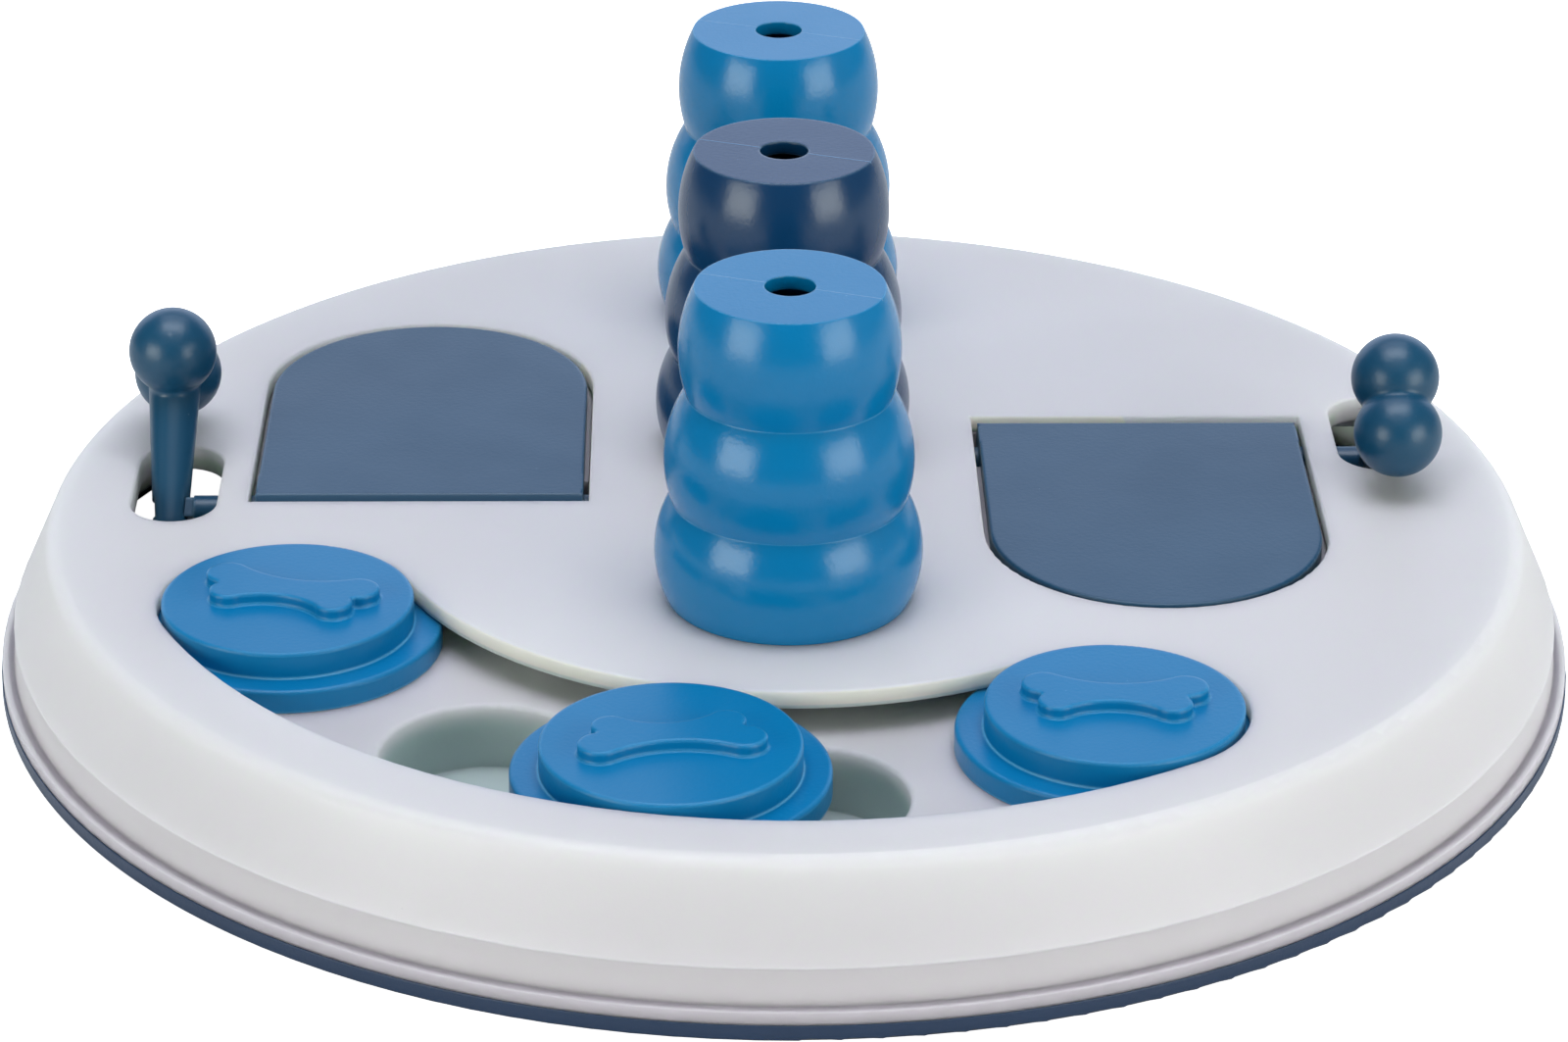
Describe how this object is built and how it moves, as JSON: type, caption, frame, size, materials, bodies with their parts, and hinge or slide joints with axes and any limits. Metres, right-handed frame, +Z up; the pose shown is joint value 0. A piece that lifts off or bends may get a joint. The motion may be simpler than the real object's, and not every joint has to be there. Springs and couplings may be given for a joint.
{
  "type": "dog puzzle feeder board",
  "caption": "Round puzzle feeder board for dogs with lift-off cones, discs that slide along a curved track over treat wells, and flip-up lids worked by bone levers.",
  "frame": {"origin": "centre of the round foot, on the surface that the board stands on", "axes": "+Z up, +Y along the row of cones away from the slide track, +X to the right seen from the track"},
  "size_m": [0.2304, 0.2304, 0.0694],
  "materials": {
    "board_plastic": "pale lavender-grey moulded plastic, satin",
    "blue_plastic": "blue moulded plastic, semi-gloss",
    "navy_plastic": "navy moulded plastic, semi-gloss",
    "ring_rubber": "navy rubber, matt",
    "screw_steel": "plain zinc-plated steel"
  },
  "bodies": {
    "board": {"upper_shell": "board_plastic", "lower_tray": "board_plastic", "grip_ring": "ring_rubber", "tray_screws": "screw_steel"},
    "left_slider": {"left_slider": "blue_plastic"},
    "centre_slider": {"centre_slider": "blue_plastic"},
    "right_slider": {"right_slider": "blue_plastic"},
    "front_cone": {"front_cone": "blue_plastic"},
    "middle_cone": {"middle_cone": "navy_plastic"},
    "back_cone": {"back_cone": "blue_plastic"},
    "left_flap": {"left_lid": "navy_plastic", "left_lever": "navy_plastic"},
    "right_flap": {"right_lid": "navy_plastic", "right_lever": "navy_plastic"}
  },
  "joints": [
    {"name": "left_slider_slide", "type": "hinge", "parent": "board", "child": "left_slider", "pos_m": [0.0005, 0, 0.0162], "axis": [0, 0, 1], "range_deg": [0, 20.5]},
    {"name": "centre_slider_slide", "type": "hinge", "parent": "board", "child": "centre_slider", "pos_m": [0.0005, 0, 0.0162], "axis": [0, 0, 1], "range_deg": [-20.5, 13.6]},
    {"name": "right_slider_slide", "type": "hinge", "parent": "board", "child": "right_slider", "pos_m": [0.0005, 0, 0.0162], "axis": [0, 0, 1], "range_deg": [-13.6, 0]},
    {"name": "front_cone_lift", "type": "slide", "parent": "board", "child": "front_cone", "axis": [0, 0, 1], "range_m": [0, 0.05]},
    {"name": "middle_cone_lift", "type": "slide", "parent": "board", "child": "middle_cone", "axis": [0, 0, 1], "range_m": [0, 0.05]},
    {"name": "back_cone_lift", "type": "slide", "parent": "board", "child": "back_cone", "axis": [0, 0, 1], "range_m": [0, 0.05]},
    {"name": "left_flap_hinge", "type": "hinge", "parent": "board", "child": "left_flap", "pos_m": [0, 0.0086, 0.0179], "axis": [1, 0, 0], "range_deg": [0, 95]},
    {"name": "right_flap_hinge", "type": "hinge", "parent": "board", "child": "right_flap", "pos_m": [0, 0.0254, 0.0179], "axis": [-1, 0, 0], "range_deg": [0, 95]}
  ]
}
